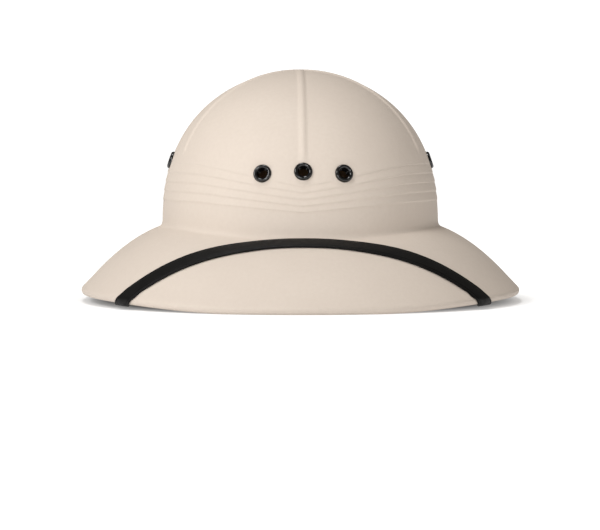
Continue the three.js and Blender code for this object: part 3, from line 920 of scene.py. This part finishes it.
def eyelet_material():
    """Gloss black enamel over metal, with light scuffs."""
    look = EYELET_LOOK
    nodes = Nodes("eyelet_enamel")
    scuff = nodes.noise(*look.scuff_noise)
    base = nodes.colour_mix(nodes.spread(scuff), look.base, look.scuffed)
    rough = nodes.spread(scuff, *look.roughness)
    normal = nodes.bump(scuff, *look.scuff_bump)
    return nodes.surface(Base_Color=base, Roughness=rough, Normal=normal, Specular_IOR_Level=look.specular)


def band_material():
    """Satin black plastic with a fine leather-like texture."""
    look = BAND_LOOK
    nodes = Nodes("band_plastic")
    grain = nodes.noise(*look.grain_noise)
    normal = nodes.bump(grain, *look.grain_bump)
    base = nodes.colour_mix(nodes.spread(grain), look.base, look.pale)
    rough = nodes.spread(nodes.noise(*look.rough_noise), *look.roughness)
    return nodes.surface(Base_Color=base, Roughness=rough, Normal=normal)


def brow_material():
    """Grey sweatband cloth with a close weave and a soft nap."""
    look = BROW_LOOK
    nodes = Nodes("brow_cloth")
    place = nodes.add("ShaderNodeTexCoord").outputs["Object"]
    wave = nodes.add("ShaderNodeTexWave", {"bands_direction": "Z"}, Vector=place, Scale=look.row_scale)
    nodes.put(wave.inputs["Distortion"], look.row_wander)
    nap = nodes.noise(*look.nap_noise)
    rows = nodes.math("MULTIPLY", wave.outputs["Fac"], look.row_share)
    normal = nodes.bump(nodes.math("ADD", rows, nap), *look.cloth_bump)
    base = nodes.colour_mix(nodes.spread(nap), look.base, look.pale)
    return nodes.surface(Base_Color=base, Roughness=look.roughness, Normal=normal, Sheen_Weight=look.sheen)


def floor_material():
    """Pale matt floor that glows all round the helmet but not under it, the cut-away glow making a painted
    contact shadow under and just round the helmet.
    """
    nodes = Nodes("pale_floor")
    cloud = nodes.spread(nodes.noise(*FLOOR.cloud_noise))
    base = nodes.colour_mix(cloud, FLOOR.base, FLOOR.pale)
    place = nodes.add("ShaderNodeTexCoord").outputs["Object"]
    oval = nodes.add("ShaderNodeVectorMath", {"operation": "MULTIPLY"})
    nodes.put(oval.inputs[0], place)
    nodes.put(oval.inputs[1], (1 / (RIM.half_width * MM), 1 / (RIM.half_length * MM), 0))
    reach = nodes.add("ShaderNodeVectorMath", {"operation": "LENGTH"})
    nodes.put(reach.inputs[0], oval.outputs["Vector"])
    # Painted contact shadow: the glow is taken away under the helmet and rises out past its rim
    ramp = nodes.add("ShaderNodeMapRange", Value=reach.outputs["Value"])
    nodes.put(ramp.inputs["From Min"], FLOOR.glow_from)
    nodes.put(ramp.inputs["From Max"], FLOOR.glow_full)
    nodes.put(ramp.inputs["To Max"], FLOOR.glow)
    glow = ramp.outputs["Result"]
    looks = {"Base_Color": base, "Roughness": FLOOR.roughness}
    return nodes.surface(**looks, Emission_Color=WHITE, Emission_Strength=glow)


# Building the pieces


def finish_piece(piece, material, slot, *nodes):
    piece.data.materials.clear()
    piece.data.materials.append(material)
    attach(piece, "root")
    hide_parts(*nodes)


finish_piece(make_shell(), shell_material(), "shell", "shell")

enamel = eyelet_material()
for place_name, (vent_angle, vent_height) in EYELETS.items():
    ring_piece = make_eyelet(f"eyelet_{place_name}_fine", vent_angle, vent_height)
    finish_piece(ring_piece, enamel, "eyelet", f"eyelet_{place_name}")

finish_piece(make_strap(), strap_material(), "strap", "chin_strap")

plastic = band_material()
finish_piece(make_headband(), plastic, "band", "headband")
brow = make_brow()
finish_piece(brow, brow_material(), "brow", "brow_band")
brow_flat_size()

for node_name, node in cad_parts.items():
    if node_name.startswith("post_"):
        node.data.materials.clear()
        node.data.materials.append(plastic)


# Floor, light and camera


def make_floor():
    mesh = bpy.data.meshes.new("floor")
    half = FLOOR.half_size
    corners = [(-half, -half, 0), (half, -half, 0), (half, half, 0), (-half, half, 0)]
    mesh.from_pydata(corners, [], [(0, 1, 2, 3)])
    mesh.materials.append(floor_material())
    ground = bpy.data.objects.new("floor", mesh)
    bpy.context.scene.collection.objects.link(ground)
    return ground


def make_world():
    """Plain white behind the object, and dimmer light from all round on it."""
    world = bpy.data.worlds.new("studio")
    world.use_nodes = True
    tree = world.node_tree
    ambient = tree.nodes["Background"]
    ambient.inputs["Color"].default_value = AMBIENT_COLOUR
    ambient.inputs["Strength"].default_value = AMBIENT_LIGHT
    backdrop = tree.nodes.new("ShaderNodeBackground")
    backdrop.inputs["Color"].default_value = WHITE
    backdrop.inputs["Strength"].default_value = BACKDROP_LIGHT
    path = tree.nodes.new("ShaderNodeLightPath")
    either = tree.nodes.new("ShaderNodeMixShader")
    tree.links.new(path.outputs["Is Camera Ray"], either.inputs["Fac"])
    tree.links.new(ambient.outputs["Background"], either.inputs[1])
    tree.links.new(backdrop.outputs["Background"], either.inputs[2])
    tree.links.new(either.outputs["Shader"], tree.nodes["World Output"].inputs["Surface"])
    return world


def turn_towards(thing, target):
    thing.rotation_euler = (Vector(target) - thing.location).to_track_quat("-Z", "Y").to_euler()


def add_light(name, place, size, power):
    light = bpy.data.lights.new(name, "AREA")
    light.size = size
    light.energy = power
    lamp = bpy.data.objects.new(name, light)
    lamp.location = place
    turn_towards(lamp, LIGHT_TARGET)
    bpy.context.scene.collection.objects.link(lamp)


def make_camera():
    """Camera at the photo's distance and side angle, just above the floor."""
    lens = bpy.data.cameras.new("photo_camera")
    lens.lens = CAMERA.lens
    lens.sensor_width = CAMERA.sensor
    camera = bpy.data.objects.new("photo_camera", lens)
    yaw = math.radians(CAMERA.azimuth)
    ahead = CAMERA.distance * math.cos(yaw)
    camera.location = (CAMERA.distance * math.sin(yaw), -ahead, CAMERA.height)
    turn_towards(camera, CAMERA.aim)
    bpy.context.scene.collection.objects.link(camera)
    return camera


floor = make_floor()

for light_name, lamp_sizes in LIGHTS.items():
    add_light(light_name, lamp_sizes.place, lamp_sizes.size, lamp_sizes.power)
bpy.context.scene.world = make_world()
bpy.context.scene.view_settings.view_transform = "Standard"
bpy.context.scene.camera = make_camera()
